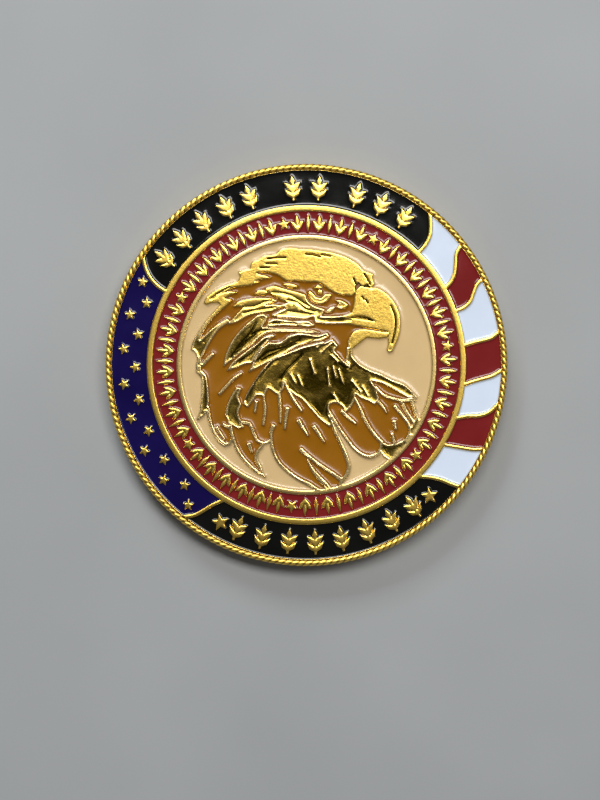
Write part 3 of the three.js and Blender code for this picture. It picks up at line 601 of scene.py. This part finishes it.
def enamel_piece(relief, region, node, material):
    """One puddle: a surface that climbs its walls, closed underneath."""
    triangles = relief.triangles[relief.region == region]
    used, local = np.unique(triangles, return_inverse=True)
    local = local.reshape(-1, 3)
    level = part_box(node)[1][2] / MM
    s = relief.distance[used]
    rise, run = (FIELD_RISE, FIELD_RUN) if node in FIELD_NODES else (MENISCUS_RISE, MENISCUS_RUN)
    climb = rise * np.exp(s / run)
    top = np.column_stack([relief.points[used], level + climb])
    bottom = np.column_stack([relief.points[used], np.full(len(used), level - ENAMEL_SKIN)])
    count = len(used)
    faces = [tuple(t) for t in local] + [tuple(t[::-1] + count) for t in local]
    edges = {}
    for a, b, c in local:
        for edge in ((a, b), (b, c), (c, a)):
            if edge[::-1] in edges:
                del edges[edge[::-1]]
            else:
                edges[edge] = True
    faces += [(b, a, a + count, b + count) for a, b in edges]
    piece = mesh_piece(node + "_cured", np.vstack([top, bottom]), faces, material)
    paint(piece, "wall_distance", np.concatenate([-s, -s]))
    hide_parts(node)


def rope(name, height, material):
    """A twisted rope laid round the coin's edge, with its middle at a height."""
    around, section = ROPE_STRANDS * STRAND_POINTS, ROPE_SECTION
    theta = 2 * math.pi * np.arange(around)[:, None] / around
    phi = 2 * math.pi * np.arange(section)[None, :] / section
    strand = ROPE_STRANDS * theta / (2 * math.pi) - ROPE_LEAN * phi / math.pi
    fullness = np.abs(np.sin(math.pi * strand)) ** STRAND_POWER
    thick = ROPE_RADIUS * (1 - ROPE_GROOVE * (1 - fullness))
    radius = ROPE_MIDDLE + thick * np.cos(phi)
    vertices = np.stack([radius * np.cos(theta), radius * np.sin(theta), height + thick * np.sin(phi)], 2)
    faces = []
    for i in range(around):
        for k in range(section):
            a, b = i * section, (i + 1) % around * section
            faces.append((a + k, b + k, b + (k + 1) % section, a + (k + 1) % section))
    piece = mesh_piece(name, vertices.reshape(-1, 3), faces, material)
    # painted shade: the crevices between strands and the rope's low flanks are darkened
    lowness = -np.sin(phi)
    inner, outer = smooth_step(lowness, *INNER_FLANK_SHADE), smooth_step(lowness, *OUTER_FLANK_SHADE)
    flank_shade = np.where(np.cos(phi) < 0, inner, outer)
    paint(piece, "crevice_shade", np.maximum(1 - fullness, flank_shade).ravel())
    paint(piece, "rope", np.ones(around * section))


class Nodes:
    """A material's node tree, with short calls to add to it."""

    def __init__(self, name):
        self.material = bpy.data.materials.new(name)
        self.material.use_nodes = True
        self.tree = self.material.node_tree
        self.shader = self.tree.nodes["Principled BSDF"]

    def add(self, kind, inputs=None, **settings):
        node = self.tree.nodes.new(kind)
        for key, value in settings.items():
            setattr(node, key, value)
        for key, value in (inputs or {}).items():
            self.put(node, key, value)
        return node

    def put(self, node, key, value):
        if isinstance(value, bpy.types.NodeSocket):
            self.tree.links.new(value, node.inputs[key])
        else:
            node.inputs[key].default_value = value

    def shade(self, **inputs):
        for key, value in inputs.items():
            self.put(self.shader, key.replace("_", " "), value)

    def place(self):
        return self.add("ShaderNodeTexCoord").outputs["Object"]

    def noise(self, scale, detail=3.0, vector=None):
        source = vector or self.place()
        node = self.add("ShaderNodeTexNoise", {"Scale": scale, "Detail": detail, "Vector": source})
        return node.outputs["Fac"]

    def ramp(self, factor, low, high, start=0.35, end=0.65):
        """A colour between low and high as factor goes from start to end."""
        node = self.add("ShaderNodeValToRGB", {"Fac": factor})
        node.color_ramp.elements[0].position = start
        node.color_ramp.elements[0].color = (*low, 1)
        node.color_ramp.elements[1].position = end
        node.color_ramp.elements[1].color = (*high, 1)
        return node.outputs["Color"]

    def span(self, factor, low, high, start=0.0, end=1.0):
        """A number between low and high as factor goes from start to end."""
        inputs = {"Value": factor, "From Min": start, "From Max": end, "To Min": low, "To Max": high}
        return self.add("ShaderNodeMapRange", inputs).outputs["Result"]

    def mix(self, factor, low, high):
        """A colour that goes from low to high as factor goes from 0 to 1."""
        low, high = ((*c, 1) if isinstance(c, tuple) else c for c in (low, high))
        return self.add("ShaderNodeMix", {0: factor, 6: low, 7: high}, data_type="RGBA").outputs[2]

    def times(self, a, b):
        return self.add("ShaderNodeMath", {0: a, 1: b}, operation="MULTIPLY").outputs["Value"]

    def attribute(self, name):
        return self.add("ShaderNodeAttribute", attribute_name=name).outputs["Fac"]

    def bump(self, height, strength, distance, normal=None):
        inputs = {"Height": height, "Strength": strength, "Distance": distance}
        node = self.add("ShaderNodeBump", inputs)
        if normal:
            self.put(node, "Normal", normal)
        return node.outputs["Normal"]


def shade_of(colour, factor):
    return tuple(min(1.0, channel * factor) for channel in colour)


def gold_material():
    """Gold plate: satin on the rings, combed on the plumage with painted shade darkening it and a painted
    highlight along its outlines, painted shade in the rope's crevices, blasted behind.
    """
    nodes = Nodes("gold_plate")
    tarnish = nodes.noise(180, 4)
    crackle = nodes.noise(2600, 5)
    grain = nodes.noise(5200, 2)
    comb = nodes.noise(1, 3, nodes.add("ShaderNodeAttribute", attribute_name="barbs").outputs["Vector"])
    eagle = nodes.attribute("on_eagle")
    plumage = nodes.attribute("plumage")

    plate = nodes.ramp(tarnish, GOLD_DEEP, GOLD_BRIGHT, 0.3, 0.7)
    worn = nodes.mix(nodes.times(eagle, nodes.span(crackle, 0.28, 0, 0.36, 0.48)), plate, GOLD_PIT)
    # painted highlight: paler gold along the feathers' outlines and on the field's ring
    highlighted = nodes.mix(nodes.times(nodes.attribute("highlight"), 0.8), worn, GOLD_HIGHLIGHT)
    # painted shade: the plumage and the eagle's slits darkened, in combed stripes
    kept = nodes.times(nodes.attribute("painted_shade"), nodes.span(comb, 1.15, 0.85, 0.38, 0.62))
    shaded = nodes.mix(kept, highlighted, GOLD_PAINTED_SHADE)
    # painted shade: the rope's crevices and low flanks darkened
    colour = nodes.mix(nodes.span(nodes.attribute("crevice_shade"), 0, 1, 0.25, 0.7), shaded, GOLD_CREVICE_SHADE)

    satin = nodes.bump(grain, 0.15, 0.00003)
    pitted = nodes.bump(crackle, nodes.times(eagle, 0.12), 0.00006, satin)
    combed = nodes.bump(comb, nodes.times(plumage, 0.5), 0.0001, pitted)
    blasted = nodes.bump(nodes.noise(9000, 2), nodes.attribute("sandblasted"), 0.00006, combed)
    nodes.shade(
        Base_Color=colour,
        Metallic=1.0,
        Roughness=nodes.span(nodes.attribute("rope"), 0.25, 0.4),
        Normal=blasted,
    )
    return nodes.material


def enamel_material(name, colour, roughness, gloss, mottle):
    """Soft enamel: painted shade darkening the colour against its walls, where the enamel also lies
    thicker, faint mottling and a slightly uneven gloss.
    """
    nodes = Nodes(name)
    cloud = nodes.noise(260, 3)
    body = nodes.ramp(cloud, shade_of(colour, 1 - mottle), shade_of(colour, 1 + mottle))
    # painted shade: the colour darkens towards the walls
    edge = nodes.span(nodes.attribute("wall_distance"), 0.75, 0, 0.0, 0.16)
    nodes.shade(
        Base_Color=nodes.mix(edge, body, shade_of(colour, 0.45)),
        Roughness=nodes.span(cloud, roughness, roughness + 0.06, 0.3, 0.7),
        Specular_IOR_Level=gloss,
        Normal=nodes.bump(nodes.noise(700, 2), 0.12, 0.00005),
    )
    return nodes.material


ENAMELS = {name: enamel_material(name, *look) for name, look in ENAMEL_LOOKS.items()}


def make_coin():
    gold = gold_material()
    front, back = front_relief(), back_relief()
    regions = enamel_regions(front)
    struck_body(front, regions, back, gold)
    for region, node in regions.items():
        enamel_piece(front, region, node, ENAMELS[slot_of(node)])
    rope("front_rope", HIGH[2] - ROPE_RADIUS, gold)
    rope("reverse_rope", LOW[2] + ROPE_RADIUS, gold)


def make_floor():
    bpy.ops.mesh.primitive_plane_add(size=3)
    floor = bpy.context.object
    floor.name = "floor"
    nodes = Nodes("pale_floor")
    nodes.shade(
        Base_Color=nodes.ramp(nodes.noise(30, 3), FLOOR_DARK, FLOOR_LIGHT),
        Roughness=0.6,
    )
    floor.data.materials.append(nodes.material)


def area_light(name, place, size, power, colour):
    data = bpy.data.lights.new(name, "AREA")
    data.shape = "RECTANGLE"
    data.size, data.size_y = size
    data.energy = power
    data.color = colour
    light = bpy.data.objects.new(name, data)
    light.location = place
    light.rotation_euler = (-Vector(place)).to_track_quat("-Z", "Y").to_euler()
    bpy.context.scene.collection.objects.link(light)


def make_light():
    for light in LIGHTS:
        area_light(*light)
    world = bpy.data.worlds.new("room")
    world.use_nodes = True
    tree = world.node_tree
    place = tree.nodes.new("ShaderNodeTexCoord")
    height = tree.nodes.new("ShaderNodeSeparateXYZ")
    ramp = tree.nodes.new("ShaderNodeValToRGB")
    ramp.color_ramp.elements[0].color = ROOM_WALLS
    ramp.color_ramp.elements[0].position = 0.2
    ramp.color_ramp.elements[1].color = ROOM_CEILING
    ramp.color_ramp.elements[1].position = 0.8
    tree.links.new(place.outputs["Generated"], height.inputs["Vector"])
    tree.links.new(height.outputs["Z"], ramp.inputs["Fac"])
    tree.links.new(ramp.outputs["Color"], tree.nodes["Background"].inputs["Color"])
    bpy.context.scene.world = world
    bpy.context.scene.view_settings.view_transform = "Standard"


def make_camera():
    data = bpy.data.cameras.new("camera")
    data.lens, data.sensor_width = LENS, SENSOR
    camera = bpy.data.objects.new("camera", data)
    away = PHOTO_LONG_SIDE / SENSOR * LENS + METAL_TOP
    camera.location = (PICTURE_CENTRE[0] * MM, PICTURE_CENTRE[1] * MM, away * MM)
    camera.rotation_euler = (0, 0, -math.radians(COIN_TURN))
    data.clip_start, data.clip_end = 0.01, 10
    bpy.context.scene.collection.objects.link(camera)
    bpy.context.scene.camera = camera


make_coin()
make_floor()
make_light()
make_camera()
